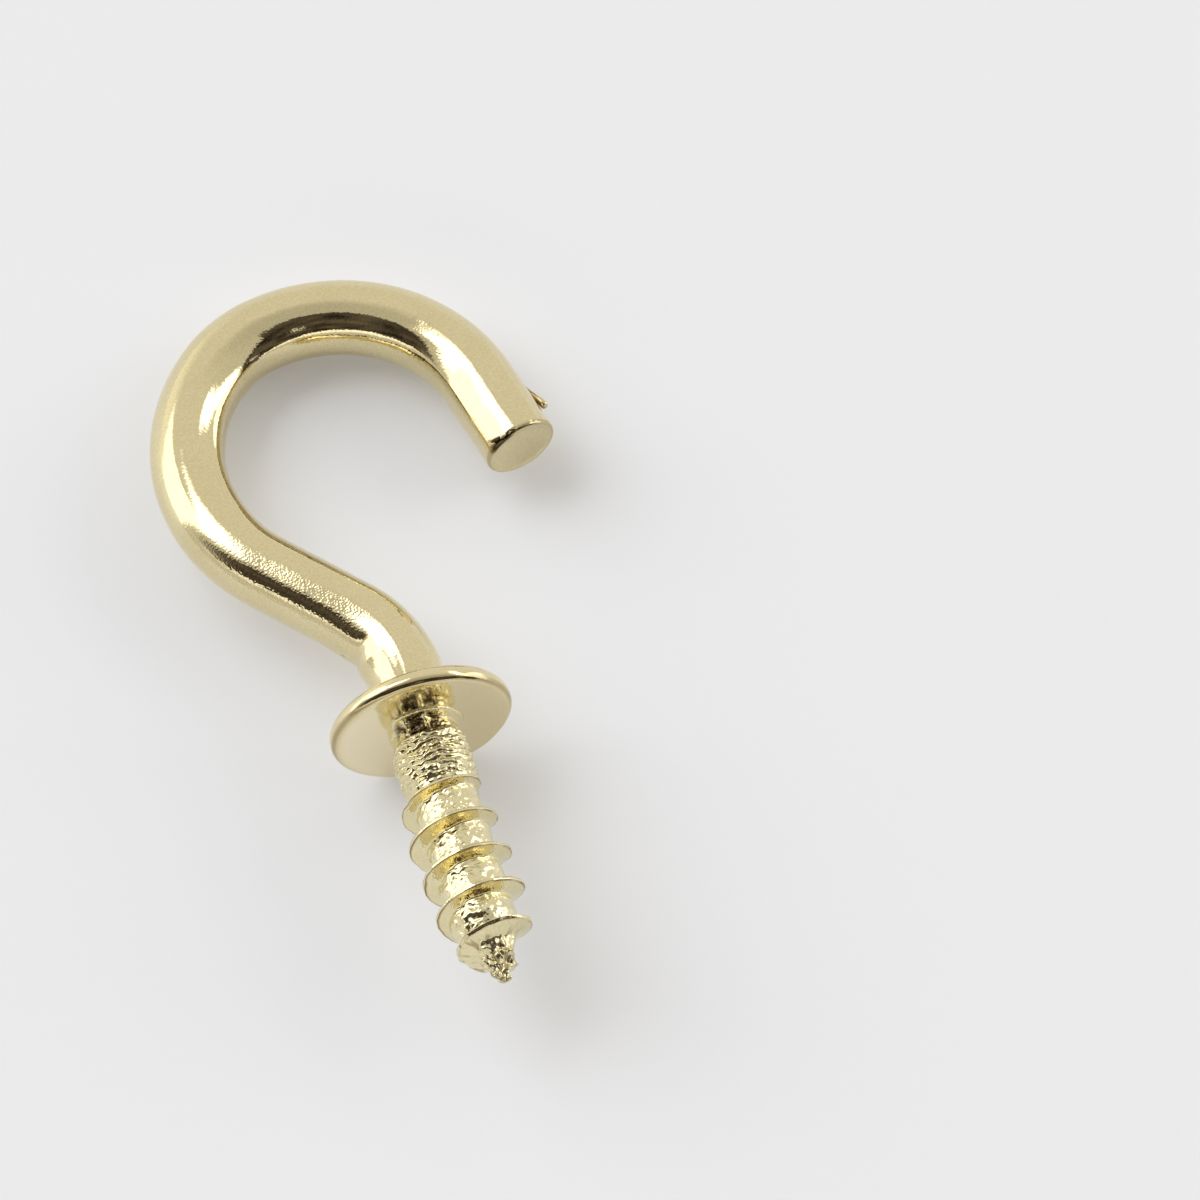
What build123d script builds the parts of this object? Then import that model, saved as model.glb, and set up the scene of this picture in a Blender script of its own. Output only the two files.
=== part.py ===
from build123d import *
import os
from math import acos, atan2, ceil, cos, degrees, hypot, radians, sin

# A cup hook in one piece: round wire bent into an open loop, headed into a flat collar, with a
# coarse gimlet-pointed wood screw below the collar. It is drawn with the screw axis on Y, the
# seat of the collar at Y = 0, the screw towards -Y and the wire bent in the XY plane. At the end
# it is laid down as it rests on a table, on the rim of the collar and the crown of the loop.
# Lengths are in millimetres and angles in degrees.

# Wire and its route, from the seat of the collar to the cut end
wire_diameter = 2.4
neck_length = 1.78
neck_bend_radius = 4.0
neck_bend_angle = 42.5
shoulder_length = 3.33
back_radius = 5.3
back_angle = 92.0
crown_radius = 3.75
crown_angle = 28.0
front_radius = 5.25
front_angle = 88.5
nose_length = 2.7
nose_edge_radius = 0.12

# Sliver of metal that the shears left on the outside of the nose
burr_length = 0.76
burr_setback = 1.74
burr_lift = 0.2
burr_thickness = 0.16
burr_width = 0.26

# Collar
collar_diameter = 5.84
collar_thickness = 0.66
collar_top_radius = 0.36
collar_seat_radius = 0.16
neck_fillet_radius = 0.2

# Screw core: a plain ring under the collar, the run-out, the threaded root and the point
screw_length = 9.2
ring_diameter = 2.1
ring_length = 0.4
runout_diameter = 2.44
runout_shoulder = 0.14
runout_end = 1.92
root_diameter = 2.08
root_start = 2.5
point_length = 1.9
tip_diameter = 0.36

# Thread: one right-hand fin that grows out of the run-out and dies away on the point
thread_diameter = 3.02
thread_pitch = 1.29
thread_start = 1.4
thread_full_depth = 3.9
thread_taper_depth = 6.4
thread_shoulder_depth = 7.4
thread_shoulder_diameter = 2.8
thread_end = 8.95
fin_crest_width = 0.09
fin_root_width = 0.42
fin_sink = 0.12
crest_depth_on_right = 2.28
steps_per_turn = 12

wire_radius = wire_diameter / 2
collar_radius = collar_diameter / 2

# Outlines of the screw as (depth below the seat, radius)
core_outline = [
    (0, ring_diameter / 2),
    (ring_length, ring_diameter / 2),
    (ring_length + runout_shoulder, runout_diameter / 2),
    (runout_end, runout_diameter / 2),
    (root_start, root_diameter / 2),
    (screw_length - point_length, root_diameter / 2),
    (screw_length - tip_diameter / 2, tip_diameter / 2),
]
crest_outline = [
    (thread_start, runout_diameter / 2 - fin_sink),
    (runout_end, runout_diameter / 2),
    (thread_full_depth, thread_diameter / 2),
    (thread_taper_depth, thread_diameter / 2),
    (thread_shoulder_depth, thread_shoulder_diameter / 2),
    (thread_end, tip_diameter / 2),
]


def radius_at(outline, depth):
    """Radius of an outline at a depth, straight between its points and level past its ends."""
    if depth <= outline[0][0]:
        return outline[0][1]
    for (depth_a, radius_a), (depth_b, radius_b) in zip(outline, outline[1:]):
        if depth <= depth_b:
            share = (depth - depth_a) / (depth_b - depth_a)
            return radius_a + share * (radius_b - radius_a)
    return outline[-1][1]


def wire_route():
    """Centre line of the wire in the XY plane, tangent all the way."""
    with BuildLine() as route:
        neck = Line((0, 0), (0, neck_length))
        bend = JernArc(neck @ 1, neck % 1, neck_bend_radius, neck_bend_angle)
        shoulder = Line(bend @ 1, bend @ 1 + (bend % 1) * shoulder_length)
        back = JernArc(shoulder @ 1, shoulder % 1, back_radius, -back_angle)
        crown = JernArc(back @ 1, back % 1, crown_radius, -crown_angle)
        front = JernArc(crown @ 1, crown % 1, front_radius, -front_angle)
        Line(front @ 1, front @ 1 + (front % 1) * nose_length)
    return route.wire()


def bent_wire(route):
    """Round wire along its route, with the rim of its cut end broken."""
    start = Plane(origin=route @ 0, z_dir=route % 0)
    wire = sweep(start * Circle(wire_radius), path=route)
    cut_end = wire.faces().sort_by_distance(route @ 1)[0]
    return fillet(cut_end.edges(), nose_edge_radius)


def shear_burr(route):
    """Small sliver that stands off the outside of the nose and points to the cut end."""
    end, along = route @ 1, route % 1
    outward = Vector(-along.Y, along.X, 0)
    root = end - along * burr_setback + outward * wire_radius
    tip = root + along * burr_length + outward * burr_lift
    outline = Polyline(
        root - outward * burr_thickness,
        root,
        tip,
        tip - outward * burr_thickness / 2,
        root + along * (burr_length / 2) - outward * burr_thickness,
        close=True,
    )
    return extrude(make_face(outline), burr_width / 2, both=True)


def collar():
    """Flat seat, rounded top edge and a small fillet up to the neck, about Z with +Z to the tip."""
    neck_top = collar_thickness + neck_fillet_radius * 1.25
    rim = FilletPolyline(
        (0, 0),
        (collar_radius, 0),
        (collar_radius, -collar_thickness),
        (wire_radius, -collar_thickness),
        (wire_radius, -neck_top),
        radius=[collar_seat_radius, collar_top_radius, neck_fillet_radius],
    )
    outline = rim + Polyline((wire_radius, -neck_top), (0, -neck_top), (0, 0))
    return revolve(Plane.XZ * make_face(outline), Axis.Z)


def screw_core():
    """Solid body of the screw without its fin, about Z with +Z to the tip."""
    side = Polyline((0, 0), *[(radius, depth) for depth, radius in core_outline])
    tip = Line((side @ 1), (0, screw_length))
    axis = Line((0, screw_length), (0, 0))
    return revolve(Plane.XZ * make_face(side + tip + axis), Axis.Z)


def fin_edge(steps, height_share, side):
    """One of the fin's four long edges, at its base (0) or crest (1), on the side -1 or +1."""
    flank_slope = (fin_root_width - fin_crest_width) / (thread_diameter - root_diameter)
    points = []
    for step in steps:
        depth = thread_start + thread_pitch * step / steps_per_turn
        crest = radius_at(crest_outline, depth)
        base = max(min(radius_at(core_outline, depth), crest) - fin_sink, fin_sink / 2)
        radius = base + height_share * (crest - base)
        half_width = fin_crest_width / 2 + flank_slope * (crest - radius)
        angle = radians(360 * (depth - crest_depth_on_right) / thread_pitch)
        points.append(Vector(radius * cos(angle), radius * sin(angle), depth + side * half_width))
    return Edge.make_spline(points, parameters=[float(step) for step in steps])


def fin_stretch(first_step, last_step):
    """Closed stretch of the fin, at most one turn long."""
    steps = range(first_step, last_step + 1)
    corners = [(0, -1), (1, -1), (1, 1), (0, 1)]
    edges = [fin_edge(steps, height_share, side) for height_share, side in corners]
    walls = [Face.make_surface_from_curves(a, b) for a, b in zip(edges, edges[1:] + edges[:1])]
    ends = [Face(Wire.make_polygon([edge @ place for edge in edges])) for place in (0, 1)]
    return Solid(Shell(walls + ends))


def screw():
    """Core and fin in one solid, turned to point along -Y from the seat."""
    step_count = ceil((thread_end - thread_start) / thread_pitch * steps_per_turn)
    fin = [
        fin_stretch(step, min(step + steps_per_turn, step_count))
        for step in range(0, step_count, steps_per_turn)
    ]
    return Rot(90, 0, 0) * (screw_core() + fin)


def rest_tilt(route):
    """Angle between the hook's plane and the table it lies on."""
    crown_reach = route.bounding_box().max.Y
    reach = crown_reach - (collar_thickness - collar_top_radius)
    rise = collar_radius - collar_top_radius
    return degrees(acos((wire_radius - collar_top_radius) / hypot(reach, rise)) - atan2(reach, rise))


def laid_down(hook, route):
    """The hook at rest on Z = 0, with the middle of its footprint at the origin."""
    tilted = Rot(-rest_tilt(route), 0, 0) * hook
    box = tilted.bounding_box()
    return Pos(-box.center().X, -box.center().Y, -box.min.Z) * tilted


route = wire_route()
cup_hook = bent_wire(route) + shear_burr(route) + Rot(90, 0, 0) * collar() + screw()
cup_hook = laid_down(cup_hook, route)

os.makedirs("parts", exist_ok=True)
export_step(cup_hook, "parts/cup_hook.step")
print("rest tilt", round(rest_tilt(route), 2), "degrees")
print("size", cup_hook.bounding_box().size)
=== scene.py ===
"""Cup hook in pale gold plating: bent wire, collar and gimlet-pointed wood screw.

The pieces are drawn in millimetres with the screw axis on Y, the seat of the collar at Y = 0 and
the wire bent in the XY plane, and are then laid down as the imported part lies.
"""

import math

import bmesh
import bpy
from bpy.props import FloatProperty, FloatVectorProperty, PointerProperty
from mathutils import Matrix, Vector, kdtree, noise


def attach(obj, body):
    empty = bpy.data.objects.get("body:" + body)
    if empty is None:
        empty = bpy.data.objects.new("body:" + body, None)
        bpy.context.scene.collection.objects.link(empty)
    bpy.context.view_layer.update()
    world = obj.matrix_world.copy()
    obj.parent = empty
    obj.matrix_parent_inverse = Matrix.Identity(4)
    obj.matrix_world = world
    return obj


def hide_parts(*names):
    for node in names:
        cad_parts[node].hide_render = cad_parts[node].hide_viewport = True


bl_info = {
    "name": "Cup hook",
    "version": (1, 0, 0),
    "blender": (4, 5, 0),
    "location": "3D View > Sidebar > Cup hook",
    "description": "Builds a plated cup hook with a gimlet-pointed wood screw",
    "category": "Object",
}

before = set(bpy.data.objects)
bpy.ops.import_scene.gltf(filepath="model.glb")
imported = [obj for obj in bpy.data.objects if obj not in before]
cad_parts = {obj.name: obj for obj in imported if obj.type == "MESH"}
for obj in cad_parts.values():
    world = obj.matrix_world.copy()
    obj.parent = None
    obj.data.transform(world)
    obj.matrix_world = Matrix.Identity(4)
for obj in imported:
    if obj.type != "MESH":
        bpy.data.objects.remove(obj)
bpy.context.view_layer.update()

NODE = "cup_hook"
BODY = "root"
MM = 1000.0


class CupHookSettings(bpy.types.PropertyGroup):
    """Sizes and colours of the cup hook and its stage"""

    wire_diameter: FloatProperty(
        name="Wire diameter", description="Diameter of the bent wire",
        default=0.0024, min=0.001, unit="LENGTH", precision=5)
    neck_length: FloatProperty(
        name="Neck length", description="Straight wire between the seat and the neck bend",
        default=0.00178, min=0.0, unit="LENGTH", precision=5)
    neck_bend_radius: FloatProperty(
        name="Neck bend radius", description="Radius of the bend above the collar",
        default=0.004, min=0.001, unit="LENGTH", precision=5)
    neck_bend_angle: FloatProperty(
        name="Neck bend angle", description="Turn of the wire away from the screw axis",
        default=math.radians(42.5), unit="ROTATION")
    shoulder_length: FloatProperty(
        name="Shoulder length", description="Straight wire between the neck bend and the loop",
        default=0.00333, min=0.0, unit="LENGTH", precision=5)
    back_radius: FloatProperty(
        name="Back radius", description="Radius of the back of the loop",
        default=0.0053, min=0.001, unit="LENGTH", precision=5)
    back_angle: FloatProperty(
        name="Back angle", description="Turn of the back of the loop",
        default=math.radians(92.0), unit="ROTATION")
    crown_radius: FloatProperty(
        name="Crown radius", description="Radius of the crown of the loop",
        default=0.00375, min=0.001, unit="LENGTH", precision=5)
    crown_angle: FloatProperty(
        name="Crown angle", description="Turn of the crown of the loop",
        default=math.radians(28.0), unit="ROTATION")
    front_radius: FloatProperty(
        name="Front radius", description="Radius of the front of the loop",
        default=0.00525, min=0.001, unit="LENGTH", precision=5)
    front_angle: FloatProperty(
        name="Front angle", description="Turn of the front of the loop",
        default=math.radians(88.5), unit="ROTATION")
    nose_length: FloatProperty(
        name="Nose length", description="Straight wire before the cut end",
        default=0.0027, min=0.0, unit="LENGTH", precision=5)
    nose_edge_radius: FloatProperty(
        name="Nose edge radius", description="Rounding of the rim of the cut end",
        default=0.00012, min=0.0, unit="LENGTH", precision=5)
    collar_diameter: FloatProperty(
        name="Collar diameter", description="Diameter of the collar",
        default=0.00584, min=0.002, unit="LENGTH", precision=5)
    collar_thickness: FloatProperty(
        name="Collar thickness", description="Thickness of the collar",
        default=0.00066, min=0.0001, unit="LENGTH", precision=5)
    collar_top_radius: FloatProperty(
        name="Collar top radius", description="Rounding of the collar's upper edge",
        default=0.00036, min=0.0, unit="LENGTH", precision=5)
    collar_seat_radius: FloatProperty(
        name="Collar seat radius", description="Rounding of the collar's lower edge",
        default=0.00025, min=0.0, unit="LENGTH", precision=5)
    neck_fillet_radius: FloatProperty(
        name="Neck fillet radius", description="Fillet between the collar and the neck",
        default=0.0002, min=0.0, unit="LENGTH", precision=5)
    screw_length: FloatProperty(
        name="Screw length", description="Length of the screw below the seat",
        default=0.0092, min=0.002, unit="LENGTH", precision=5)
    thread_pitch: FloatProperty(
        name="Thread pitch", description="Advance of the thread in one turn",
        default=0.00129, min=0.0005, unit="LENGTH", precision=5)
    thread_crest_width: FloatProperty(
        name="Thread crest width", description="Width of the land on top of the thread",
        default=0.00009, min=0.0, unit="LENGTH", precision=5)
    rest_tilt: FloatProperty(
        name="Rest tilt", description="Slope of the hook's plane as it lies",
        default=math.radians(6.44357), unit="ROTATION")
    seat_centre: FloatVectorProperty(
        name="Seat centre", description="Middle of the collar's seat as the hook lies",
        default=(-0.00045904, -0.00372131, 0.00293750), subtype="TRANSLATION", precision=6)
    plating_colour: FloatVectorProperty(
        name="Plating colour", description="Colour of the pale gold plating",
        default=(0.83, 0.73, 0.445), min=0.0, max=1.0, subtype="COLOR")
    deep_colour: FloatVectorProperty(
        name="Deep colour", description="Colour of the plating where it is thicker or stained",
        default=(0.71, 0.58, 0.32), min=0.0, max=1.0, subtype="COLOR")
    screw_colour: FloatVectorProperty(
        name="Screw colour", description="Paler colour of the plating on the screw",
        default=(0.88, 0.80, 0.50), min=0.0, max=1.0, subtype="COLOR")
    # Painted reflection: the pale colour lightens the collar's seat, more on its left than on its
    # right, to stand for the bright floor it mirrors.
    seat_reflection_colour: FloatVectorProperty(
        name="Pale colour", description="Colour of the thinner plating on the seat",
        default=(0.95, 0.86, 0.64), min=0.0, max=1.0, subtype="COLOR")
    # Wear and painted shade: this brown marks wear on the thread's crest edges and tip. It is also
    # painted shade on the screw's left outlines, round the collar's seat edge, round the rim of the
    # cut end and on the sliver's base.
    wear_and_shade_colour: FloatVectorProperty(
        name="Worn colour", description="Colour along the edges of the thread",
        default=(0.30, 0.21, 0.09), min=0.0, max=1.0, subtype="COLOR")
    shadow_colour: FloatVectorProperty(
        name="Shadow colour", description="Colour of creases, pits and cut edges",
        default=(0.085, 0.06, 0.03), min=0.0, max=1.0, subtype="COLOR")
    floor_colour: FloatVectorProperty(
        name="Floor colour", description="Colour of the pale floor",
        default=(0.902, 0.898, 0.903), min=0.0, max=1.0, subtype="COLOR")
    lamp_level: FloatProperty(
        name="Soft box level", description="Brightness of the middles of the soft boxes",
        default=2.7, min=0.0)
    room_level: FloatProperty(
        name="Room level", description="Brightness of the room around the soft boxes",
        default=0.66, min=0.0)


# ------------------------------------------------------------------ places


def lying_matrix(settings):
    """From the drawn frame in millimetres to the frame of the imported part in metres."""
    turn = Matrix.Rotation(-settings.rest_tilt, 4, "X")
    return Matrix.Translation(settings.seat_centre) @ turn @ Matrix.Scale(1 / MM, 4)


def finish_piece(bm, name, material, settings):
    """Lays the drawn piece down, smooths it and hands it to the frame."""
    bmesh.ops.recalc_face_normals(bm, faces=bm.faces[:])
    bmesh.ops.transform(bm, matrix=lying_matrix(settings), verts=bm.verts[:])
    for face in bm.faces:
        face.smooth = True
    mesh = bpy.data.meshes.new(name)
    bm.to_mesh(mesh)
    bm.free()
    piece = bpy.data.objects.new(name, mesh)
    bpy.context.scene.collection.objects.link(piece)
    mesh.materials.append(material)
    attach(piece, BODY)
    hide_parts(NODE)
    return piece


def smooth_share(value, low, high):
    """0 below low, 1 above high and a smooth step between them."""
    share = min(max((value - low) / (high - low), 0.0), 1.0)
    return share * share * (3 - 2 * share)


def window(value, rise, fall):
    """1 between the end of a rise and the start of a fall, 0 outside them, smooth on both."""
    return smooth_share(value, *rise) * (1 - smooth_share(value, *fall))


def unevenness(spot, layers):
    """Sum of layers of smooth noise, each a (scale, height)."""
    return sum(height * noise.noise(spot * scale) for scale, height in layers)


def between(outline, depth):
    """Value of an outline of (depth, value) at a depth, straight between its points."""
    if depth <= outline[0][0]:
        return outline[0][1]
    for (depth_a, value_a), (depth_b, value_b) in zip(outline, outline[1:]):
        if depth <= depth_b:
            return value_a + (value_b - value_a) * (depth - depth_a) / (depth_b - depth_a)
    return outline[-1][1]


# ------------------------------------------------------------------ bent wire


# Length of one ring of faces along the wire, faces round it, and its start inside the collar
WIRE_STEP = 0.1
WIRE_SEGMENTS = 112
WIRE_START = 0.3


def pushed_ring(bm, ring, step):
    """Extrudes an open ring of edges by one step; gives its new edges and vertices."""
    made = bmesh.ops.extrude_edge_only(bm, edges=ring)["geom"]
    verts = [item for item in made if isinstance(item, bmesh.types.BMVert)]
    new = set(verts)
    ring = [item for item in made if isinstance(item, bmesh.types.BMEdge)
            and all(vert in new for vert in item.verts)]
    bmesh.ops.translate(bm, verts=verts, vec=step)
    return ring, verts


def run_wire(bm, ring, direction, length):
    """Carries the open ring of the wire along a straight run."""
    count = max(1, round(length / WIRE_STEP))
    for _ in range(count):
        ring, _ = pushed_ring(bm, ring, direction * (length / count))
    return ring


def bend_wire(bm, ring, place, direction, radius, angle):
    """Carries the open ring round a bend; a positive angle bends to the left."""
    verts = list(dict.fromkeys(vert for edge in ring for vert in edge.verts))
    made = bmesh.ops.spin(
        bm, geom=verts + ring, cent=bend_centre(place, direction, radius, angle),
        axis=Vector((0, 0, 1)), dvec=Vector((0, 0, 0)), angle=angle,
        steps=max(2, round(radius * abs(angle) / WIRE_STEP)), use_merge=False,
        use_normal_flip=False, use_duplicate=False)["geom_last"]
    return [item for item in made if isinstance(item, bmesh.types.BMEdge)]


def bend_centre(place, direction, radius, angle):
    """Middle of a bend that starts at a place."""
    side = Vector((-direction.y, direction.x, 0)) * (1 if angle > 0 else -1)
    return place + side * radius


def stage_end(place, direction, kind, size, angle):
    """Place and direction at the end of a run or a bend."""
    if kind == "run":
        return place + direction * size, direction
    centre = bend_centre(place, direction, size, angle)
    turn = Matrix.Rotation(angle, 3, "Z")
    return centre + turn @ (place - centre), turn @ direction


def wire_stages(settings):
    """Runs and bends of the wire from inside the collar to the nose, in millimetres."""
    return [
        ("run", settings.neck_length * MM - WIRE_START, 0.0),
        ("bend", settings.neck_bend_radius * MM, settings.neck_bend_angle),
        ("run", settings.shoulder_length * MM, 0.0),
        ("bend", settings.back_radius * MM, -settings.back_angle),
        ("bend", settings.crown_radius * MM, -settings.crown_angle),
        ("bend", settings.front_radius * MM, -settings.front_angle),
        ("run", settings.nose_length * MM, 0.0),
    ]


def centre_line(settings):
    """Close row of (place, direction, distance) along the middle of the wire."""
    place, direction, distance = Vector((0, WIRE_START, 0)), Vector((0, 1, 0)), WIRE_START
    row = [(place, direction, distance)]
    for kind, size, angle in wire_stages(settings):
        length = size if kind == "run" else size * abs(angle)
        count = max(1, round(length / WIRE_STEP))
        turn = Matrix.Rotation(angle / count, 3, "Z")
        for _ in range(count):
            following = turn @ direction
            place = place + (direction + following).normalized() * (length / count)
            direction = following
            distance += length / count
            row.append((place, direction, distance))
    return row


# Marks along the wire. Turns go round it in degrees from straight up, positive to the inside of
# the loop, and distances along it in millimetres from the seat. A stretch is a rise and a fall.
PRESS_TURNS = (28, 55), (55, 88)
PRESS_START = (8.5, 11.0)
PRESS_EASED_STRETCH = (17.6, 19.4), (24.0, 26.0)
PRESS_EASED_BY = 0.8
PRESS_HEIGHT = 0.07
GROOVE_STRETCH = (1.3, 1.8), (3.0, 3.6)
GROOVE_TURN, GROOVE_WIDTH, GROOVE_DEPTH = -14, 5, 0.016
DRAW_LINE_HEIGHT = 0.003


def flatten_inside(bm, settings):
    """Shoulder that the bending pin pressed along the inside of the loop, and faint draw lines."""
    row = centre_line(settings)
    tree = kdtree.KDTree(len(row))
    for index, (place, _, _) in enumerate(row):
        tree.insert(place, index)
    tree.balance()
    grain = bm.verts.layers.float.new("grain")
    end = row[-1][2]
    for vert in bm.verts:
        _, index, _ = tree.find(vert.co)
        place, direction, distance = row[index]
        gap = vert.co - place
        inward = gap.x * direction.y - gap.y * direction.x
        turn = math.degrees(math.atan2(inward, gap.z))
        press = PRESS_HEIGHT * window(turn, *PRESS_TURNS)
        press *= window(distance, PRESS_START, (end - 0.25, end - 0.1))
        press *= 1 - PRESS_EASED_BY * window(distance, *PRESS_EASED_STRETCH)
        groove = GROOVE_DEPTH * window(distance, *GROOVE_STRETCH)
        groove *= math.exp(-((turn - GROOVE_TURN) / GROOVE_WIDTH) ** 2)
        lines = DRAW_LINE_HEIGHT * noise.noise(Vector((turn / 9, distance * 0.12, 3.0)))
        vert.co += vert.normal * (press - groove + lines)
        vert[grain] = wire_grain(turn, distance, end)


def wire_grain(turn, distance, end):
    """Extra height of the plating's grain: most on the shoulder's lower side, least on the nose."""
    crown = 0.2 * smooth_share(turn, 20, 40) * window(distance, (16.0, 17.5), (25.0, 26.5))
    shoulder = smooth_share(-turn, -15, 15) * window(distance, (3.0, 4.5), (8.5, 10.5))
    polish = smooth_share(distance, end - 4.0, end - 2.4)
    return max(-0.9, 2.3 * max(crown, shoulder) - 0.45 * polish - 0.3)


def swell(bm, centre, reach, height):
    """Raises or sinks the surface round a place along its normal."""
    centre = Vector(centre)
    for vert in bm.verts:
        gap = (vert.co - centre).length
        if gap < reach:
            share = (1 - (gap / reach) ** 2) ** 2
            vert.co += vert.normal * (height * share)


def build_wire(settings, material):
    """Round wire bent along its route, with a sheared nose and the marks of the bending tools."""
    radius = settings.wire_diameter * MM / 2
    place, direction = Vector((0, WIRE_START, 0)), Vector((0, 1, 0))
    bm = bmesh.new()
    start = Matrix.Translation(place) @ Matrix.Rotation(math.radians(-90), 4, "X")
    bmesh.ops.create_circle(
        bm, cap_ends=False, segments=WIRE_SEGMENTS, radius=radius, matrix=start)
    ring = bm.edges[:]
    for kind, size, angle in wire_stages(settings):
        if kind == "run":
            ring = run_wire(bm, ring, direction, size)
        else:
            ring = bend_wire(bm, ring, place, direction, size, angle)
        place, direction = stage_end(place, direction, kind, size, angle)
    close_wire_start(bm)
    shear_nose(bm, ring, settings)
    bm.normal_update()
    flatten_inside(bm, settings)
    mark_heel(bm, settings)
    mark_wire(bm, place, direction, radius)
    return finish_piece(bm, "bent_wire", material, settings)


def close_wire_start(bm):
    """Closes the end of the wire that is buried in the collar."""
    rim = [edge for edge in bm.edges if edge.is_boundary
           and edge.verts[0].co.y < WIRE_START + 0.01 and abs(edge.verts[0].co.x) < 1.3]
    bmesh.ops.contextual_create(bm, geom=rim)


def shear_nose(bm, ring, settings):
    """Closes the nose with a flat cut and a broken rim."""
    made = bmesh.ops.contextual_create(bm, geom=ring)
    cut = made["faces"][0]
    bmesh.ops.bevel(
        bm, geom=list(cut.edges), offset=settings.nose_edge_radius * MM, offset_type="OFFSET",
        affect="EDGES", segments=5, profile=0.5, material=-1, clamp_overlap=True)
    cut = max(bm.faces, key=lambda face: len(face.verts) if face.calc_center_median().x > 2 else 0)
    bmesh.ops.inset_region(bm, faces=[cut], thickness=0.03, use_even_offset=True)
    bmesh.ops.inset_region(bm, faces=[cut], thickness=0.05, depth=-0.025, use_even_offset=True)
    for _ in range(6):
        bmesh.ops.inset_region(bm, faces=[cut], thickness=0.14, use_even_offset=True)
    bmesh.ops.poke(bm, faces=[cut])


# Height of the surface inside the neck bend, by the turn of the bend in degrees
HEEL_MARKS = [(0, 0.0), (6, 0.04), (14, 0.09), (19, 0.04), (23, -0.05), (25.0, -0.06), (27.0, 0.0),
              (33, 0.04), (38, 0.05), (52, 0.0)]

# Dents and one swelling inside the neck bend: place, reach and height
HEEL_DENTS = [((-1.72, 3.32, -0.18), 0.16, -0.06), ((-1.30, 3.75, 0.52), 0.14, -0.05),
              ((-1.52, 3.10, 0.20), 0.22, 0.03), ((-2.3, 3.55, 0.1), 0.12, -0.04)]

# Pits inside the neck bend, darkened with painted shade, and their reach
HEEL_PITS = [((-1.72, 3.32, -0.18), 0.12), ((-2.3, 3.55, 0.1), 0.10)]


def mark_heel(bm, settings):
    """Step and shallow swellings that the bending tools left inside the neck bend."""
    bend = settings.neck_bend_radius * MM
    centre = Vector((-bend, settings.neck_length * MM, 0))
    last_turn = HEEL_MARKS[-1][0]
    for vert in bm.verts:
        arm = vert.co - centre
        turn = math.degrees(math.atan2(arm.y, arm.x))
        inside = bend - math.hypot(arm.x, arm.y)
        if 0 < turn < last_turn and 0 < inside < 1.3 and vert.co.x > -3.0:
            share = smooth_share(inside, 0.45, 1.05)
            vert.co += vert.normal * (between(HEEL_MARKS, turn) * share)
    for dent in HEEL_DENTS:
        swell(bm, *dent)


def roll_rim(bm, nose, along, radius):
    """Edge of the nose dragged over by the shears, on the side that faces up and in."""
    outward = Vector((-along.y, along.x, 0))
    for vert in bm.verts:
        gap = vert.co - nose
        back = -gap.dot(along)
        if back > 0.5 or gap.length > 1.6:
            continue
        arm = gap + along * back
        turn = math.degrees(math.atan2(gap.z, gap.dot(outward)))
        share = math.exp(-((turn - 118) / 24) ** 2) * (1 - smooth_share(back, 0.03, 0.17))
        rim = smooth_share(arm.length, radius * 0.8, radius)
        vert.co -= arm.normalized() * (0.06 * share * rim)


def mark_wire(bm, nose, along, radius):
    """Rolled rim of the nose with painted shade round it, painted shade in the heel's pits, a
    narrower neck and slight unevenness all over.
    """
    wear_and_shade = bm.verts.layers.float.new("wear_and_shade")
    crease = bm.verts.layers.float.new("crease")
    outward = Vector((-along.y, along.x, 0))
    for vert in bm.verts:
        gap = vert.co - nose
        back = -gap.dot(along)
        reach = (gap + along * back).length
        if -0.05 < back < 0.3 and gap.length < 1.4:
            # Painted shade: a dark line round the rim of the cut end and a dark wedge where the rim
            # rolls over, standing for the darker reflections of the rolled edge.
            if back < 0.11:
                vert[wear_and_shade] = 0.55 * smooth_share(reach, radius * 0.90, radius * 0.95)
            turn = math.degrees(math.atan2(gap.z, gap.dot(outward)))
            wedge = 0.13 * math.exp(-((turn - 128) / 26) ** 2)
            dark = (1 - smooth_share(back, wedge, wedge + 0.05)) * smooth_share(wedge, 0.03, 0.09)
            vert[crease] = dark * smooth_share(reach, radius * 0.85, radius * 0.92)
        for place, size in HEEL_PITS:
            pit = 1 - smooth_share((vert.co - Vector(place)).length, size * 0.4, size)
            vert[crease] = max(vert[crease], 0.85 * pit)
    roll_rim(bm, nose, along, radius)
    swell(bm, (1.2, 1.5, 0.0), 0.9, -0.06)
    for vert in bm.verts:
        vert.co += vert.normal * unevenness(vert.co, ((0.55, 0.012), (3.1, 0.0025)))


# ------------------------------------------------------------------ shear sliver


# Root of the sliver: distance back from the cut end, depth in the wire, half width and half height
SLIVER_SETBACK, SLIVER_SINK = 1.98, 0.06
SLIVER_HALF_SIZE = (0.12, 0.092)

# Steps of the sliver towards the cut end: forward, outward and the growth of its section
SLIVER_STEPS = [(0.15, 0.01, 1.10), (0.15, 0.03, 1.08), (0.15, 0.05, 1.06), (0.15, 0.06, 1.04),
                (0.15, 0.05, 1.02), (0.15, 0.04, 1.0), (0.1, 0.02, 0.95), (0.04, 0.0, 0.75)]


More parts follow.
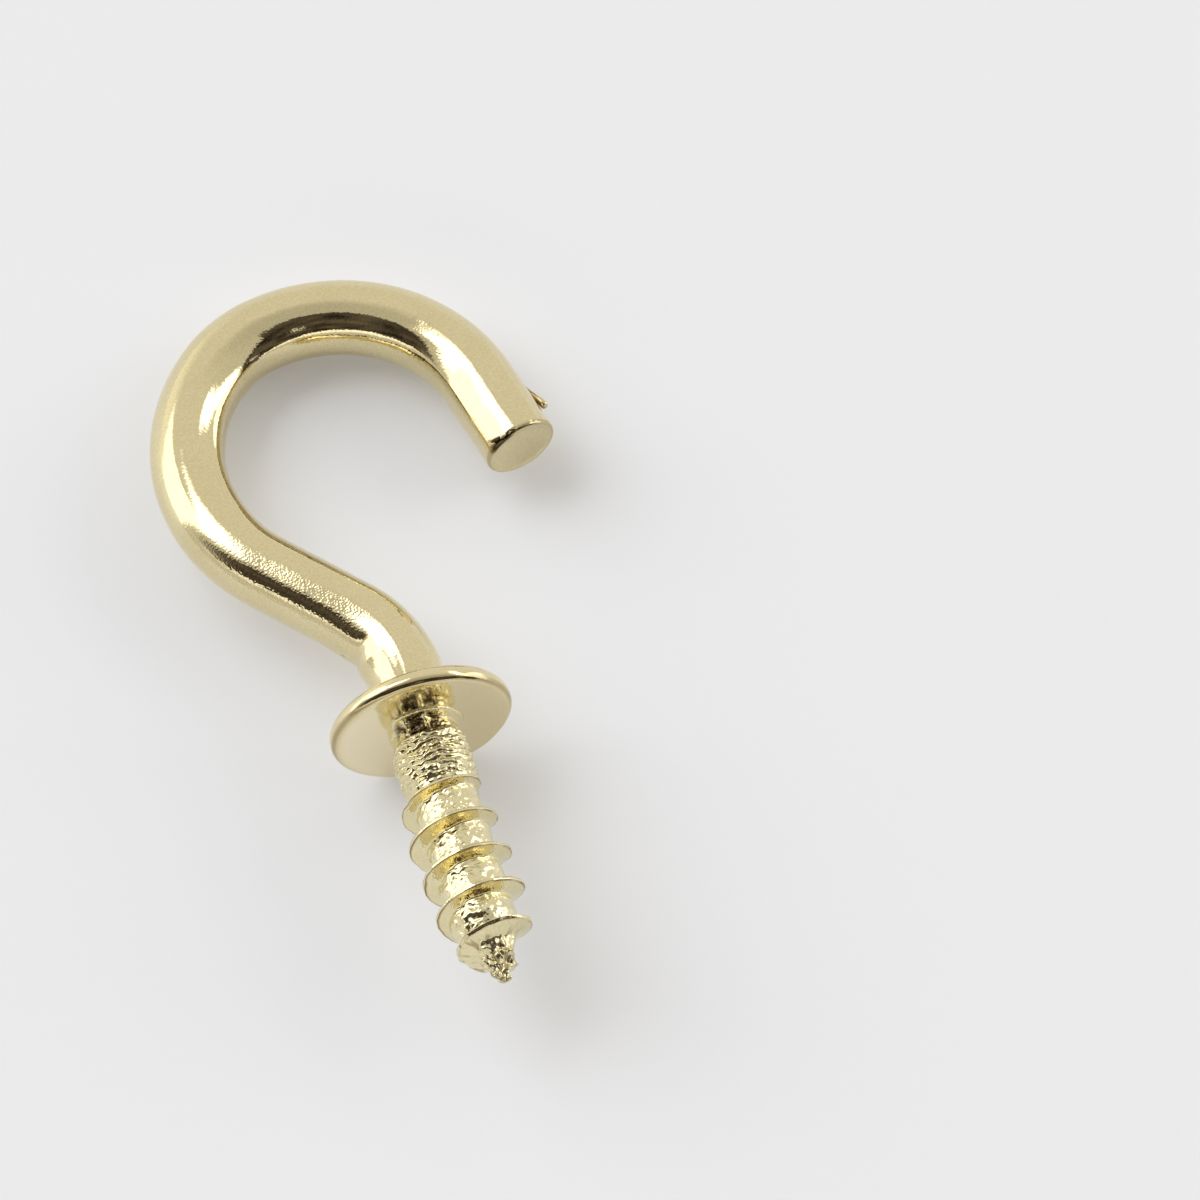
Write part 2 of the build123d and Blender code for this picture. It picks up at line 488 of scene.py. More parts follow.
def build_sliver(settings, material):
    """Small curled sliver that the shears left on the outside of the nose."""
    nose, along, outward = nose_place(settings)
    radius = settings.wire_diameter * MM / 2
    root = nose - along * SLIVER_SETBACK + outward * (radius - SLIVER_SINK)
    across = Vector((0, 0, 1))
    bm = bmesh.new()
    tilt = Matrix((across, outward, along)).transposed().to_4x4()
    bmesh.ops.create_circle(
        bm, cap_ends=True, segments=12, radius=1.0,
        matrix=Matrix.Translation(root) @ tilt @ Matrix.Diagonal((*SLIVER_HALF_SIZE, 1, 1)))
    ring = bm.edges[:]
    centre = root.copy()
    for forward, lift, growth in SLIVER_STEPS:
        step = along * forward + outward * lift
        ring, verts = pushed_ring(bm, ring, step)
        centre += step
        bmesh.ops.scale(
            bm, verts=verts, vec=(growth, growth, growth), space=Matrix.Translation(-centre))
    bmesh.ops.contextual_create(bm, geom=ring)
    wear_and_shade = bm.verts.layers.float.new("wear_and_shade")
    # Painted shade on the sliver's base, where it meets the wire; the rest of it gets only a faint
    # touch.
    for vert in bm.verts:
        vert[wear_and_shade] = 0.9 if (vert.co - nose).dot(outward) < radius + 0.13 else 0.1
    return finish_piece(bm, "shear_sliver", material, settings)


def nose_place(settings):
    """Middle of the cut end, the direction of the wire there and the way out of the loop."""
    place, direction = Vector((0, WIRE_START, 0)), Vector((0, 1, 0))
    for stage in wire_stages(settings):
        place, direction = stage_end(place, direction, *stage)
    return place, direction, Vector((-direction.y, direction.x, 0))


# ------------------------------------------------------------------ collar


def build_collar(settings, material):
    """Flat seat, rounded upper edge and a fillet up to the neck, turned about Y."""
    radius = settings.collar_diameter * MM / 2
    thickness = settings.collar_thickness * MM
    neck = settings.wire_diameter * MM / 2
    top = thickness + settings.neck_fillet_radius * MM * 1.6
    corners = [(0, 0, 0), (radius, 0, settings.collar_seat_radius * MM),
               (radius, thickness, settings.collar_top_radius * MM),
               (neck, thickness, settings.neck_fillet_radius * MM), (neck, top, 0), (0, top, 0)]
    bm = bmesh.new()
    verts = [bm.verts.new((x, y, 0)) for x, y, _ in corners]
    for first, second in zip(verts, verts[1:]):
        bm.edges.new((first, second))
    for vert, (_, _, rounding) in zip(list(verts), corners):
        if rounding > 0:
            bmesh.ops.bevel(
                bm, geom=[vert], offset=rounding, offset_type="OFFSET", affect="VERTICES",
                segments=8, profile=0.5, material=-1)
    long_edges = [edge for edge in bm.edges if edge.calc_length() > 0.5]
    bmesh.ops.subdivide_edges(bm, edges=long_edges, cuts=14)
    bmesh.ops.spin(
        bm, geom=bm.verts[:] + bm.edges[:], cent=(0, 0, 0), axis=(0, 1, 0), dvec=(0, 0, 0),
        angle=math.tau, steps=160, use_merge=True, use_normal_flip=False, use_duplicate=False)
    bmesh.ops.remove_doubles(bm, verts=bm.verts[:], dist=0.0005)
    bm.normal_update()
    for vert in bm.verts:
        rim = smooth_share(math.hypot(vert.co.x, vert.co.z), radius - 0.45, radius - 0.25)
        rise = unevenness(vert.co, ((0.9, 0.010),))
        rise += rim * unevenness(vert.co, ((2.3, 0.007), (4.6, 0.004)))
        vert.co += vert.normal * rise
    wear_and_shade = bm.verts.layers.float.new("wear_and_shade")
    pale = bm.verts.layers.float.new("pale")
    for vert in bm.verts:
        reach = math.hypot(vert.co.x, vert.co.z)
        # Painted shade: a dark brown line round the seat's outer edge, standing for the dark line
        # that its rounding reflects.
        lower_edge = 1 - smooth_share(vert.co.y, 0.12, 0.26)
        vert[wear_and_shade] = 0.65 * smooth_share(reach, radius - 0.16, radius - 0.06) * lower_edge
        # Painted reflection on the seat: paler towards negative x, where it mirrors bright floor,
        # and less pale towards positive x, where it mirrors the screw's shadow.
        seat = 1 - smooth_share(vert.co.y, 0.02, 0.1)
        seat *= 1 - smooth_share(reach, radius - 0.3, radius - 0.16)
        vert[pale] = seat * (0.5 - 0.28 * vert.co.x / radius)
    return finish_piece(bm, "collar", material, settings)


# ------------------------------------------------------------------ screw


# Outlines of the core and of the fin's crest as (depth below the seat, radius)
CORE_OUTLINE = [(-0.3, 1.2), (-0.02, 1.36), (0.03, 1.38), (0.07, 1.33), (0.11, 1.16), (0.16, 1.05),
                (0.52, 1.04), (0.58, 1.08), (0.68, 1.18), (1.90, 1.20), (2.15, 1.12),
                (2.40, 1.04), (7.10, 1.03), (7.70, 0.86), (8.20, 0.62), (8.60, 0.40), (8.85, 0.24),
                (9.00, 0.20), (9.10, 0.18), (9.17, 0.10), (9.20, 0.04)]
CREST_OUTLINE = [(1.20, 1.02), (1.80, 1.20), (2.28, 1.27), (2.80, 1.38), (3.60, 1.47), (4.20, 1.50),
                 (6.40, 1.48), (7.20, 1.42), (7.60, 1.33), (7.95, 1.12), (8.25, 0.84),
                 (8.60, 0.60), (8.85, 0.36), (9.05, 0.16), (9.30, 0.0)]

# Depth of the first crest on the right, and how far the crest runs out of true along the axis
CREST_DEPTH = 2.239
CREST_WOBBLE = 0.085

# Layers of unevenness as (scale, height)
RIDGE_WARP = ((1.6, 0.8), (4.1, 0.5), (9.0, 0.2))
RUNOUT_DENTS = ((2.1, 0.03), (5.5, 0.05), (11.0, 0.03))
ROOT_DENTS = ((2.4, 0.034), (5.6, 0.030), (11.0, 0.018))
RING_DENTS = ((5.0, 0.025), (10.0, 0.03))
CREST_WAVES = ((1.1, 0.035), (8.0, 0.012))
TIP_LUMPS = ((2.8, 0.12), (5.8, 0.09), (12.0, 0.018))

# Upright teeth on the ring under the collar: turn in degrees and height
RING_TEETH = [(119, 0.12), (86, 0.10)]
RING_TOOTH_WIDTH = 2.6

# Height and spacing of the fine rings on the run-out
RIDGE_HEIGHT, RIDGE_SPACING = 0.09, 0.225


def thread_offset(depth, angle, pitch):
    """Distance along the axis from the nearest turn of the thread's crest."""
    wobble = CREST_WOBBLE * math.cos(angle)
    turns = (depth - CREST_DEPTH - wobble) / pitch - angle / math.tau
    return (turns - round(turns)) * pitch


def ridge_height(depth, angle, spot):
    """Fine wavy rings that the rolling dies left on the run-out, between 0 and 1."""
    warp = unevenness(spot, RIDGE_WARP)
    phase = depth / RIDGE_SPACING - 0.4 * angle / math.tau + warp
    return abs(math.sin(math.pi * phase)) ** 0.5


def screw_radius(depth, angle, spot, settings):
    """Radius of the finished screw at a depth and an angle."""
    near_tip = smooth_share(depth, 7.5, 8.4)
    core = core_radius(depth, angle, spot)
    crest = crest_radius(depth, angle, spot)
    land = settings.thread_crest_width * MM / 2 + 0.05 * near_tip
    slope = 0.34 + 0.22 * near_tip
    offset = thread_offset(depth, angle, settings.thread_pitch * MM)
    offset += 0.02 * noise.noise(spot * 1.3)
    fin = crest - max(0.0, abs(offset) - land) / slope
    blend = 0.05 + 0.05 * near_tip
    high, low = max(core, fin), min(core, fin)
    gap = max(blend - (high - low), 0.0) / blend
    radius = high + gap * gap * blend / 4
    plain = plain_core_radius(depth, angle, spot)
    close = Vector((spot.x * plain, spot.y, spot.z * plain))
    radius += near_tip * unevenness(close, TIP_LUMPS)
    radius *= 1 - 0.9 * smooth_share(depth, 9.12, 9.22)
    return max(radius, 0.01)


def plain_core_radius(depth, angle, spot):
    """Radius of the core without its dents; the lip under the collar is only on its upper side."""
    core = between(CORE_OUTLINE, depth)
    if depth < 0.16:
        core += 0.02 * noise.noise(spot * 3.0)
        upper = smooth_share(math.sin(angle + math.radians(25)), 0.0, 0.5)
        core = 1.05 + (core - 1.05) * upper
    return core


def core_radius(depth, angle, spot):
    """Radius of the core with the marks of the rolling dies and the teeth on the ring."""
    core = plain_core_radius(depth, angle, spot)
    ridges = RIDGE_HEIGHT * (ridge_height(depth, angle, spot) - 0.7)
    core += window(depth, (0.56, 0.68), (2.0, 2.4)) * (ridges + unevenness(spot, RUNOUT_DENTS))
    core += smooth_share(depth, 1.7, 2.3) * unevenness(spot, ROOT_DENTS)
    ring_wall = window(depth, (0.08, 0.16), (0.55, 0.65))
    core += ring_wall * unevenness(spot, RING_DENTS)
    for place, height in RING_TEETH:
        around = (math.degrees(angle) - place) / RING_TOOTH_WIDTH
        core += ring_wall * height * math.exp(-around ** 2)
    return core


def crest_radius(depth, angle, spot):
    """Radius of the fin's crest, which leans to one side, waves and has a few nicks."""
    formed = smooth_share(depth, 1.7, 2.3)
    lean = 0.075 * (smooth_share(depth, 3.0, 7.0) * 2 - 1) * (1 - smooth_share(depth, 7.6, 8.6))
    nick = 0.12 * max(0.0, noise.noise(spot * 2.9) - 0.26)
    return between(CREST_OUTLINE, depth) + formed * (
        lean * math.cos(angle) + unevenness(spot, CREST_WAVES) - nick)


# Turns of the plain tube that the screw is shaped from, and its faces round one turn
TUBE_TURNS, TUBE_STEPS = 9, 160


def build_screw(settings, material):
    """Plain ring, ridged run-out, threaded root and gimlet point, swept as one helix."""
    pitch = settings.thread_pitch * MM
    length = settings.screw_length * MM
    bm = bmesh.new()
    first_crest = CREST_DEPTH - 3 * pitch
    verts = [bm.verts.new((1.0, -(first_crest + place), 0)) for place in thread_stations(pitch)]
    for first, second in zip(verts, verts[1:]):
        bm.edges.new((first, second))
    bmesh.ops.spin(
        bm, geom=bm.verts[:] + bm.edges[:], cent=(0, 0, 0), axis=(0, -1, 0),
        dvec=(0, -pitch / TUBE_STEPS, 0), angle=math.tau, steps=TUBE_STEPS,
        use_merge=False, use_normal_flip=False, use_duplicate=False)
    one_turn = bm.verts[:] + bm.edges[:] + bm.faces[:]
    for turn in range(1, TUBE_TURNS):
        made = bmesh.ops.duplicate(bm, geom=one_turn)["geom"]
        copied = [item for item in made if isinstance(item, bmesh.types.BMVert)]
        bmesh.ops.translate(bm, verts=copied, vec=(0, -pitch * turn, 0))
    bmesh.ops.remove_doubles(bm, verts=bm.verts[:], dist=0.0008)
    for depth, normal in ((-0.2, (0, 1, 0)), (length - 0.01, (0, -1, 0))):
        bmesh.ops.bisect_plane(
            bm, geom=bm.verts[:] + bm.edges[:] + bm.faces[:], dist=0.0001,
            plane_co=(0, -depth, 0), plane_no=normal, clear_outer=True, clear_inner=False)
    shape_screw(bm, settings)
    bmesh.ops.holes_fill(bm, edges=[edge for edge in bm.edges if edge.is_boundary], sides=0)
    return finish_piece(bm, "screw", material, settings)


def thread_stations(pitch):
    """Places across one turn, close together on the fin and wider on the root."""
    near = [0.0, 0.028, 0.043, 0.05, 0.068, 0.09, 0.115, 0.14, 0.165, 0.19, 0.22]
    count = 13
    gap = (pitch / 2 - near[-1]) / count
    ahead = near + [near[-1] + gap * (step + 1) for step in range(count)]
    return [-place for place in reversed(ahead[1:])] + ahead


def shape_screw(bm, settings):
    """Gives the plain helical tube its core, fin, ridges and point."""
    wear_and_shade = bm.verts.layers.float.new("wear_and_shade")
    matt = bm.verts.layers.float.new("matt")
    crease = bm.verts.layers.float.new("crease")
    for vert in bm.verts:
        angle = math.atan2(vert.co.z, vert.co.x)
        depth = -vert.co.y
        if depth > 0.5:
            depth += CREST_WOBBLE * math.cos(angle) * window(depth, (1.4, 2.2), (8.0, 9.0))
        spot = Vector((math.cos(angle), -depth, math.sin(angle)))
        radius = screw_radius(depth, angle, spot, settings)
        height = radius - between(CORE_OUTLINE, depth)
        offset = abs(thread_offset(depth, angle, settings.thread_pitch * MM))
        vert[wear_and_shade] = screw_wear_and_shade(depth, offset, height, spot)
        vert[matt] = max(1.3 * smooth_share(depth, 7.4, 8.2), 0.4 * vert[wear_and_shade])
        vert[crease] = screw_crease(depth, angle, height, spot)
        lean = 0.09 * smooth_share(depth, 8.0, 8.8) - 0.06 * (1 - smooth_share(depth, 0.1, 0.3))
        vert.co = Vector((radius * spot.x + lean, -depth, radius * spot.z))


def screw_wear_and_shade(depth, offset, height, spot):
    """Share of brown: broken lines along both edges of the crest, partly wear and partly painted
    shade for the dark lines the sharp edges reflect, heavier towards negative x as painted shade
    along the outline, and worn spots on the tip.
    """
    broken = smooth_share(unevenness(spot, ((2.2, 1.0), (6.0, 0.5))), -0.7, 0.1)
    broken = max(broken, smooth_share(-spot.x, 0.3, 0.7))
    broken *= 1 - 0.6 * smooth_share(depth, 6.6, 7.3)
    edge = window(offset, (0.032, 0.043), (0.05, 0.068)) * smooth_share(height, 0.08, 0.2)
    patch = smooth_share(unevenness(spot, ((3.0, 1.0), (8.0, 0.5))), 0.12, 0.4)
    return max(edge * broken, 0.75 * patch * smooth_share(depth, 7.5, 8.1))


def screw_crease(depth, angle, height, spot):
    """Share of shadow colour: the hollows of the ring's upper side and of the run-out."""
    upper = smooth_share(math.sin(angle - math.radians(12)), 0.55, 0.85)
    hollow = 1 - smooth_share(height, 0.02, 0.07)
    mottle = smooth_share(unevenness(spot, ((4.0, 1.0), (9.0, 0.5))), -0.35, 0.15)
    wall = window(depth, (0.08, 0.14), (0.5, 0.75)) * upper * hollow * mottle
    groove = 1 - smooth_share(ridge_height(depth, angle, spot), 0.2, 0.55)
    return max(wall, 0.45 * window(depth, (0.6, 0.7), (2.0, 2.5)) * groove)


# ------------------------------------------------------------------ finishes


def new_node(tree, kind, **values):
    """A node with some of its properties set by name."""
    node = tree.nodes.new(kind)
    for key, value in values.items():
        setattr(node, key, value)
    return node


def feed(tree, socket, value):
    """Gives a socket a fixed value, or links it to another socket."""
    if isinstance(value, bpy.types.NodeSocket):
        tree.links.new(value, socket)
    else:
        socket.default_value = value


def reckoned(tree, operation, *values):
    """Result of a sum on sockets and numbers."""
    node = new_node(tree, "ShaderNodeMath", operation=operation)
    for socket, value in zip(node.inputs, values):
        feed(tree, socket, value)
    return node.outputs["Value"]


def ranged(tree, value, source, target, interpolation="LINEAR"):
    """A value spread from one range to another and held to it."""
    spread = new_node(tree, "ShaderNodeMapRange", interpolation_type=interpolation)
    keys = ("Value", "From Min", "From Max", "To Min", "To Max")
    for key, entry in zip(keys, (value, *source, *target)):
        feed(tree, spread.inputs[key], entry)
    return spread.outputs["Result"]


def mixed(tree, data_type, below, above, share):
    """One colour or level laid over another by a share."""
    mix = new_node(tree, "ShaderNodeMix", data_type=data_type)
    for key, entry in (("A", below), ("B", above), ("Factor", share)):
        feed(tree, mix.inputs[key], entry)
    return mix.outputs["Result"]


def attribute(tree, name):
    """An attribute of the piece, as a value."""
    return new_node(tree, "ShaderNodeAttribute", attribute_name=name).outputs["Fac"]


def noise_map(tree, place, scale, detail, source, target):
    """Noise in the object's own space, spread from one range to another."""
    cloud = new_node(tree, "ShaderNodeTexNoise")
    cloud.inputs["Scale"].default_value = scale
    cloud.inputs["Detail"].default_value = detail
    cloud.inputs["Roughness"].default_value = 0.6
    tree.links.new(place.outputs["Object"], cloud.inputs["Vector"])
    return ranged(tree, cloud.outputs["Fac"], source, target)


def tinted(tree, below, colour, share):
    """A plain colour laid over another by a share."""
    return mixed(tree, "RGBA", below, (*colour, 1.0), share)


def plating(name, colour, settings, *, grain, coarse_share, roughness, stain, speckle):
    """Polished pale gold plating with faint stain, grain, and tool marks in the surface."""
    material = bpy.data.materials.new(name)
    material.use_nodes = True
    tree = material.node_tree
    shader = tree.nodes["Principled BSDF"]
    shader.inputs["Metallic"].default_value = 1.0
    place = new_node(tree, "ShaderNodeTexCoord")

    speck = [value * 0.6 for value in settings.deep_colour]
    colour = tinted(tree, (*colour, 1.0), settings.deep_colour,
                    noise_map(tree, place, 420.0, 4.0, (0.42, 0.78), (0.0, stain)))
    colour = tinted(tree, colour, speck,
                    noise_map(tree, place, 13000.0, 2.0, (0.32, 0.76), (0.0, speckle)))
    # Tints laid on by attributes: the pale one is painted reflection on the collar's seat, the
    # brown one is wear together with painted shade, and the shadow colour is painted shade.
    for mark, tint in (("pale", settings.seat_reflection_colour), ("wear_and_shade", settings.wear_and_shade_colour),
                       ("crease", settings.shadow_colour)):
        colour = tinted(tree, colour, tint, attribute(tree, mark))
    tree.links.new(colour, shader.inputs["Base Color"])

    polish = noise_map(tree, place, 1900.0, 3.0, (0.3, 0.75), (roughness * 0.8, roughness * 1.35))
    dull = reckoned(tree, "MULTIPLY_ADD", attribute(tree, "matt"), 0.08, polish)
    tree.links.new(dull, shader.inputs["Roughness"])

    coarse = relief(tree, place, None, 3000.0, 3.0, grain * coarse_share)
    fine = relief(tree, place, coarse, 15000.0, 0.0, grain * 0.35, attribute(tree, "grain"))
    tree.links.new(fine, shader.inputs["Normal"])
    return material


def relief(tree, place, below, scale, detail, height, growth=None):
    """Noise in the height of the surface; growth adds its own share of the height."""
    bump = new_node(tree, "ShaderNodeBump")
    bump.inputs["Strength"].default_value = 1.0
    grown = reckoned(tree, "MULTIPLY_ADD", growth, height, height) if growth else height
    feed(tree, bump.inputs["Distance"], grown)
    cloud = noise_map(tree, place, scale, detail, (0.0, 1.0), (0.0, 1.0))
    tree.links.new(cloud, bump.inputs["Height"])
    if below:
        tree.links.new(below, bump.inputs["Normal"])
    return bump.outputs["Normal"]


# Share of the floor that is seen as its own colour, so that it stays pale in the shadows
PAPER_GLOW = 0.2


def floor_finish(settings):
    """Pale satin paper with a very faint mottle, a little brighter to the eye than its light."""
    material = bpy.data.materials.new("pale_floor")
    material.use_nodes = True
    tree = material.node_tree
    shader = tree.nodes["Principled BSDF"]
    shader.inputs["Roughness"].default_value = 0.35
    shader.inputs["Specular IOR Level"].default_value = 0.4
    place = new_node(tree, "ShaderNodeTexCoord")
    mottle = new_node(tree, "ShaderNodeTexNoise")
    mottle.inputs["Scale"].default_value = 60.0
    tree.links.new(place.outputs["Object"], mottle.inputs["Vector"])
    darker = [value * 0.985 for value in settings.floor_colour]
    colour = tinted(tree, (*settings.floor_colour, 1.0), darker, mottle.outputs["Fac"])
    tree.links.new(colour, shader.inputs["Base Color"])
    paper = new_node(tree, "ShaderNodeEmission")
    paper.inputs["Color"].default_value = (*settings.floor_colour, 1.0)
    both = new_node(tree, "ShaderNodeMixShader")
    share = reckoned(tree, "MULTIPLY", seen_rays(tree), PAPER_GLOW)
    tree.links.new(share, both.inputs["Fac"])
    tree.links.new(shader.outputs["BSDF"], both.inputs[1])
    tree.links.new(paper.outputs["Emission"], both.inputs[2])
    tree.links.new(both.outputs["Shader"], tree.nodes["Material Output"].inputs["Surface"])
    return material


def seen_rays(tree):
    """1 for what the camera sees, straight, in a reflection or through glass."""
    path = new_node(tree, "ShaderNodeLightPath")
    rays = path.outputs["Is Camera Ray"]
    for ray in ("Is Glossy Ray", "Is Transmission Ray"):
        rays = reckoned(tree, "MAXIMUM", rays, path.outputs[ray])
    return rays


# ------------------------------------------------------------------ stage


# Turn of the stage about the vertical against the frame of the part
STAGE_TURN = math.radians(-16.1)

# Corners of the soft boxes as angles from straight up, and their share of the full level. Each box
# has a wide part and a brighter middle.
SOFT_BOXES = [
    ([(-98, -6), (-92, 22), (-38, 46), (-40, 22), (-34, 1)], 0.68),
    ([(-52, 1), (-38, 20), (-18, 33), (-12, 28), (-29, 0)], 1.0),
    ([(56, 24), (60, 48), (80, 58), (102, 30), (100, -10), (62, -5)], 0.72),
    ([(50, 2), (34, 36), (42, 41), (60, 22), (78, -5), (58, -5)], 1.0),
]
SOFT_BOX_EDGE = 0.045

# Small panels at the front and their levels: two lights in the dark gap and one dark screen
SMALL_PANELS = [
    ([(14, -33), (20, -34), (21, -41), (15, -41)], 0.7),
    ([(57, -20), (63, -19), (64, -33), (58, -34)], 0.6),
    ([(64, -28), (62, -44), (86, -48), (90, -28)], 0.12),
]
SMALL_PANEL_EDGE = 0.02

# Parts of the room, each bounded by cutting planes: a direction on the stage, how far out the
# plane lies and how soft it is
BACK = [((0, 1, 0), 0.3, 0.25)]
OVERHEAD = [((0, 0, 1), 0.9, 0.1)]
LEFT_GLOW = [((-0.85, 0.5, 0.0), 0.86, 0.12), ((0, 1, 0), -0.1, 0.3)]
FRONT_STRIP = [((-0.3, -1, -1.9), 0.0, 0.015), ((0.3, 1, 2.9), 0.0, 0.07),
               ((1, 0, 0), -0.85, 0.2), ((-1, 0, 0), -0.88, 0.08)]
DARK_GAP = [((0, -1, 0), 0.15, 0.03), ((0.3, 1, 1.9), 0.0, 0.015),
            ((1, 0, 0), -0.9, 0.1), ((0, 0, 1), 0.04, 0.06)]

# Their levels: the first two are shares of the room's level
BACK_SHARE, OVERHEAD_SHARE = 1.22, 0.85
GLOW_LEVEL, STRIP_LEVEL, GAP_LEVELS = 1.1, 1.43, (0.02, 0.15)

# Tints of the surroundings by half their level: dim ones are warmer
TINTS = [(0.04, (1.0, 0.82, 0.66, 1.0)), (0.2, (1.0, 0.975, 0.91, 1.0)),
         (0.6, (1.0, 0.975, 0.91, 1.0)), (0.8, (1.0, 1.0, 1.0, 1.0))]


def build_floor(settings):
    """Large pale floor under the hook."""
    bm = bmesh.new()
    bmesh.ops.create_circle(bm, cap_ends=True, segments=96, radius=3.0)
    mesh = bpy.data.meshes.new("floor")
    bm.to_mesh(mesh)
    bm.free()
    floor = bpy.data.objects.new("floor", mesh)
    bpy.context.scene.collection.objects.link(floor)
    mesh.materials.append(floor_finish(settings))


def sky_direction(across, ahead):
    """Direction whose angles from straight up are (across, ahead) in degrees on the stage."""
    zenith = math.radians(math.hypot(across, ahead))
    turn = math.atan2(ahead, across) + STAGE_TURN
    return Vector((math.sin(zenith) * math.cos(turn), math.sin(zenith) * math.sin(turn),
                   math.cos(zenith)))


def planes_mask(tree, direction, planes):
    """1 inside cutting planes of (normal, offset, softness), soft across each of them."""
    product = 1.0
    for normal, offset, softness in planes:
        lean = new_node(tree, "ShaderNodeVectorMath", operation="DOT_PRODUCT")
        lean.inputs[1].default_value = normal
        tree.links.new(direction, lean.inputs[0])
        mask = ranged(tree, lean.outputs["Value"], (offset - softness, offset + softness),
                      (0.0, 1.0), "SMOOTHSTEP")
        product = reckoned(tree, "MULTIPLY", product, mask)
    return product


def part_mask(tree, direction, planes):
    """Mask of a part of the room, with its planes turned as the stage is."""
    turn = Matrix.Rotation(STAGE_TURN, 3, "Z")
    return planes_mask(tree, direction, [
        ((turn @ Vector(normal)).normalized(), offset, softness)
        for normal, offset, softness in planes])


def panel_mask(tree, direction, corners, softness):
    """Mask of a flat panel in the sky, given by its corners."""
    spots = [sky_direction(*corner) for corner in corners]
    middle = sum(spots, Vector((0, 0, 0)))
    planes = []
    for spot, following in zip(spots, spots[1:] + spots[:1]):
        normal = spot.cross(following).normalized()
        planes.append((normal if normal.dot(middle) > 0 else -normal, 0.0, softness))
    return planes_mask(tree, direction, planes)


def build_world(settings):
    """Plain soft studio: a pale room, two soft boxes, a dark gap over the camera."""
    world = bpy.data.worlds.new("studio")
    bpy.context.scene.world = world
    world.use_nodes = True
    tree = world.node_tree
    background = tree.nodes["Background"]
    direction = new_node(tree, "ShaderNodeTexCoord").outputs["Generated"]
    murk = new_node(tree, "ShaderNodeTexNoise")
    murk.inputs["Scale"].default_value = 4.5
    tree.links.new(direction, murk.inputs["Vector"])
    gloom = ranged(tree, murk.outputs["Fac"], (0.35, 0.7), GAP_LEVELS)

    level = settings.room_level
    for above, planes in ((level * BACK_SHARE, BACK), (level * OVERHEAD_SHARE, OVERHEAD),
                          (GLOW_LEVEL, LEFT_GLOW), (STRIP_LEVEL, FRONT_STRIP), (gloom, DARK_GAP)):
        level = mixed(tree, "FLOAT", level, above, part_mask(tree, direction, planes))
    panels = [(settings.lamp_level * share, corners, SOFT_BOX_EDGE)
              for corners, share in SOFT_BOXES]
    panels += [(above, corners, SMALL_PANEL_EDGE) for corners, above in SMALL_PANELS]
    for above, corners, softness in panels:
        level = mixed(tree, "FLOAT", level, above, panel_mask(tree, direction, corners, softness))
    tree.links.new(level, background.inputs["Strength"])

    warmth = new_node(tree, "ShaderNodeValToRGB")
    ramp = warmth.color_ramp
    ramp.elements[0].position, ramp.elements[0].color = TINTS[0]
    ramp.elements[1].position, ramp.elements[1].color = TINTS[-1]
    for position, tint in TINTS[1:-1]:
        ramp.elements.new(position).color = tint
    tree.links.new(reckoned(tree, "MULTIPLY", level, 0.5), warmth.inputs["Fac"])
    tree.links.new(warmth.outputs["Color"], background.inputs["Color"])


def build_key_light():
    """Soft light from the left and behind that gives the hook its shadow on the floor."""
    data = bpy.data.lights.new("key_light", "SUN")
    data.energy = 0.94
    data.angle = math.radians(54)
    data.color = (0.88, 0.98, 1.15)
    lamp = bpy.data.objects.new("key_light", data)
    bpy.context.scene.collection.objects.link(lamp)
    lamp.rotation_euler = sky_direction(-42, 28).to_track_quat("Z", "Y").to_euler()
    lamp.visible_glossy = False


def build_camera():
    """Camera at the height and turn from which the hook is seen."""
    data = bpy.data.cameras.new("camera")
    data.lens = 236.565
    data.sensor_width = 36.0
    data.clip_start = 0.01
    data.clip_end = 20.0
    camera = bpy.data.objects.new("camera", data)
    bpy.context.scene.collection.objects.link(camera)
    camera.location = Vector((-0.0208430, -0.0944809, 0.2298088))
    target = Vector((0.00637625, 0.00017174, 0.00002634))
    camera.rotation_euler = (target - camera.location).to_track_quat("-Z", "Y").to_euler()
    bpy.context.scene.camera = camera


# ------------------------------------------------------------------ operators


class HOOK_OT_wire(bpy.types.Operator):
    """Build the bent wire with its sheared nose"""

    bl_idname = "cup_hook.wire"
    bl_label = "Bent wire"

    def execute(self, context):
        settings = context.scene.cup_hook
        finish = plating(
            "wire_plating", settings.plating_colour, settings,
            grain=0.000005, coarse_share=0.6, roughness=0.055, stain=0.3, speckle=0.3)
        build_wire(settings, finish)
        build_sliver(settings, finish)
        return {"FINISHED"}


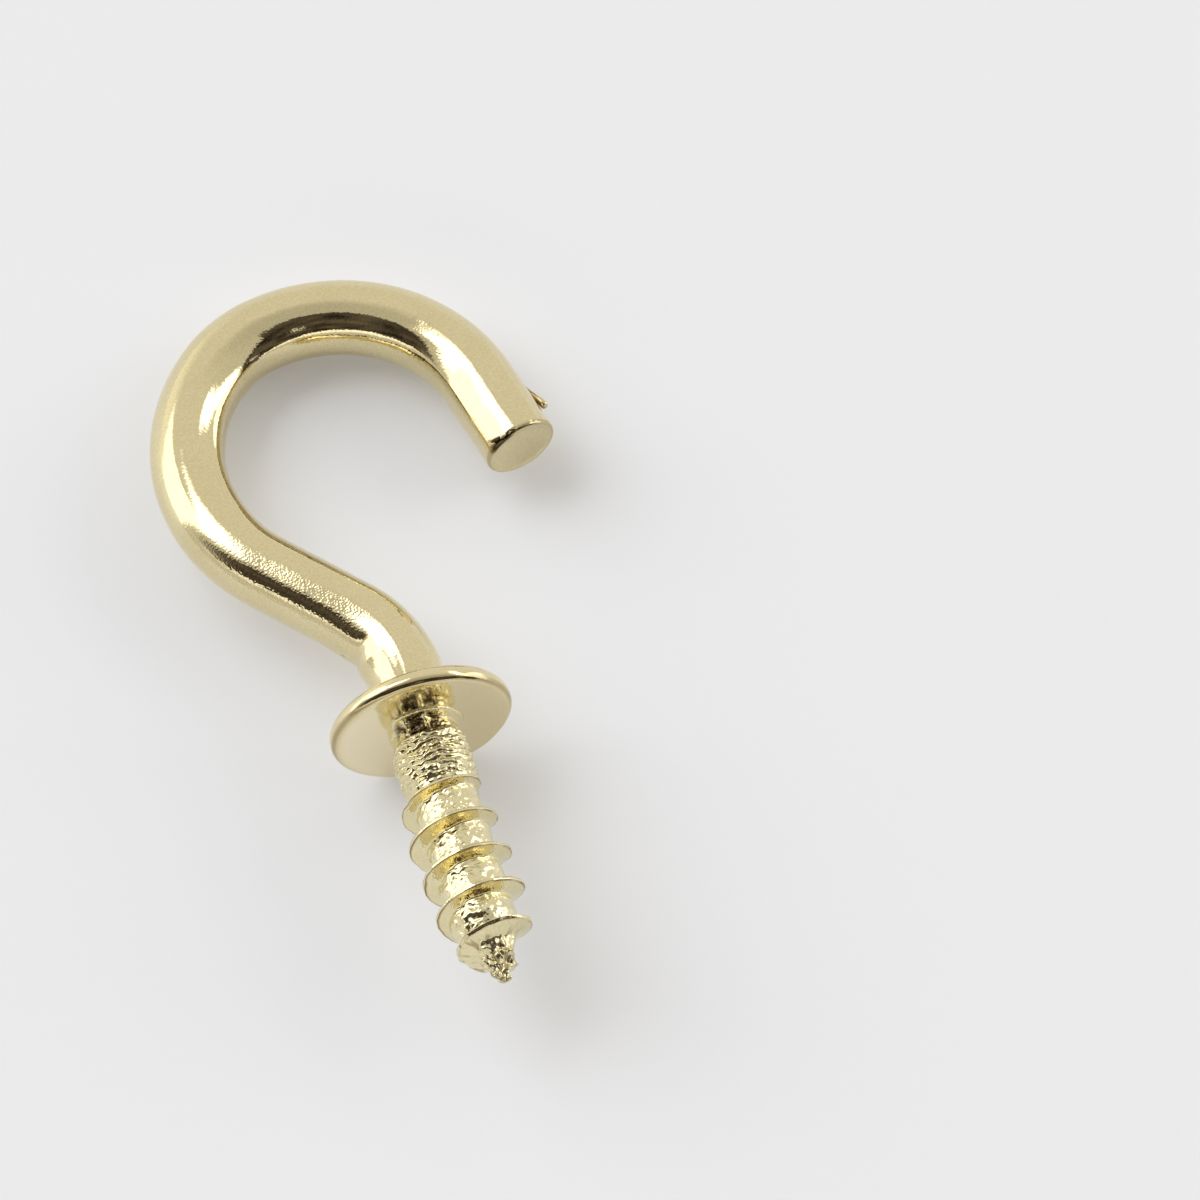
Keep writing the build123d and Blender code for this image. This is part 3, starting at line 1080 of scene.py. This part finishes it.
class HOOK_OT_collar(bpy.types.Operator):
    """Build the collar with its flat seat"""

    bl_idname = "cup_hook.collar"
    bl_label = "Collar"

    def execute(self, context):
        settings = context.scene.cup_hook
        finish = plating(
            "collar_plating", settings.plating_colour, settings,
            grain=0.000003, coarse_share=1.0, roughness=0.12, stain=0.3, speckle=0.14)
        build_collar(settings, finish)
        return {"FINISHED"}


class HOOK_OT_screw(bpy.types.Operator):
    """Build the wood screw with its thread and gimlet point"""

    bl_idname = "cup_hook.screw"
    bl_label = "Wood screw"

    def execute(self, context):
        settings = context.scene.cup_hook
        finish = plating(
            "screw_plating", settings.screw_colour, settings,
            grain=0.000013, coarse_share=1.0, roughness=0.09, stain=0.4, speckle=0.26)
        build_screw(settings, finish)
        return {"FINISHED"}


class HOOK_OT_stage(bpy.types.Operator):
    """Build the floor, the studio light and the camera"""

    bl_idname = "cup_hook.stage"
    bl_label = "Stage"

    def execute(self, context):
        settings = context.scene.cup_hook
        build_floor(settings)
        build_world(settings)
        build_key_light()
        build_camera()
        context.scene.view_settings.view_transform = "Standard"
        return {"FINISHED"}


class HOOK_PT_panel(bpy.types.Panel):
    """Buttons and sizes of the cup hook"""

    bl_idname = "HOOK_PT_panel"
    bl_label = "Cup hook"
    bl_space_type = "VIEW_3D"
    bl_region_type = "UI"
    bl_category = "Cup hook"

    def draw(self, context):
        settings = context.scene.cup_hook
        for step in STEPS:
            self.layout.operator(step.bl_idname)
        for key in CupHookSettings.__annotations__:
            self.layout.prop(settings, key)


STEPS = (HOOK_OT_wire, HOOK_OT_collar, HOOK_OT_screw, HOOK_OT_stage)
CLASSES = (CupHookSettings, *STEPS, HOOK_PT_panel)


def register():
    for cls in CLASSES:
        bpy.utils.register_class(cls)
    bpy.types.Scene.cup_hook = PointerProperty(type=CupHookSettings)


def unregister():
    del bpy.types.Scene.cup_hook
    for cls in reversed(CLASSES):
        bpy.utils.unregister_class(cls)


def main():
    register()
    bpy.ops.cup_hook.wire()
    bpy.ops.cup_hook.collar()
    bpy.ops.cup_hook.screw()
    bpy.ops.cup_hook.stage()


if __name__ == "__main__":
    main()
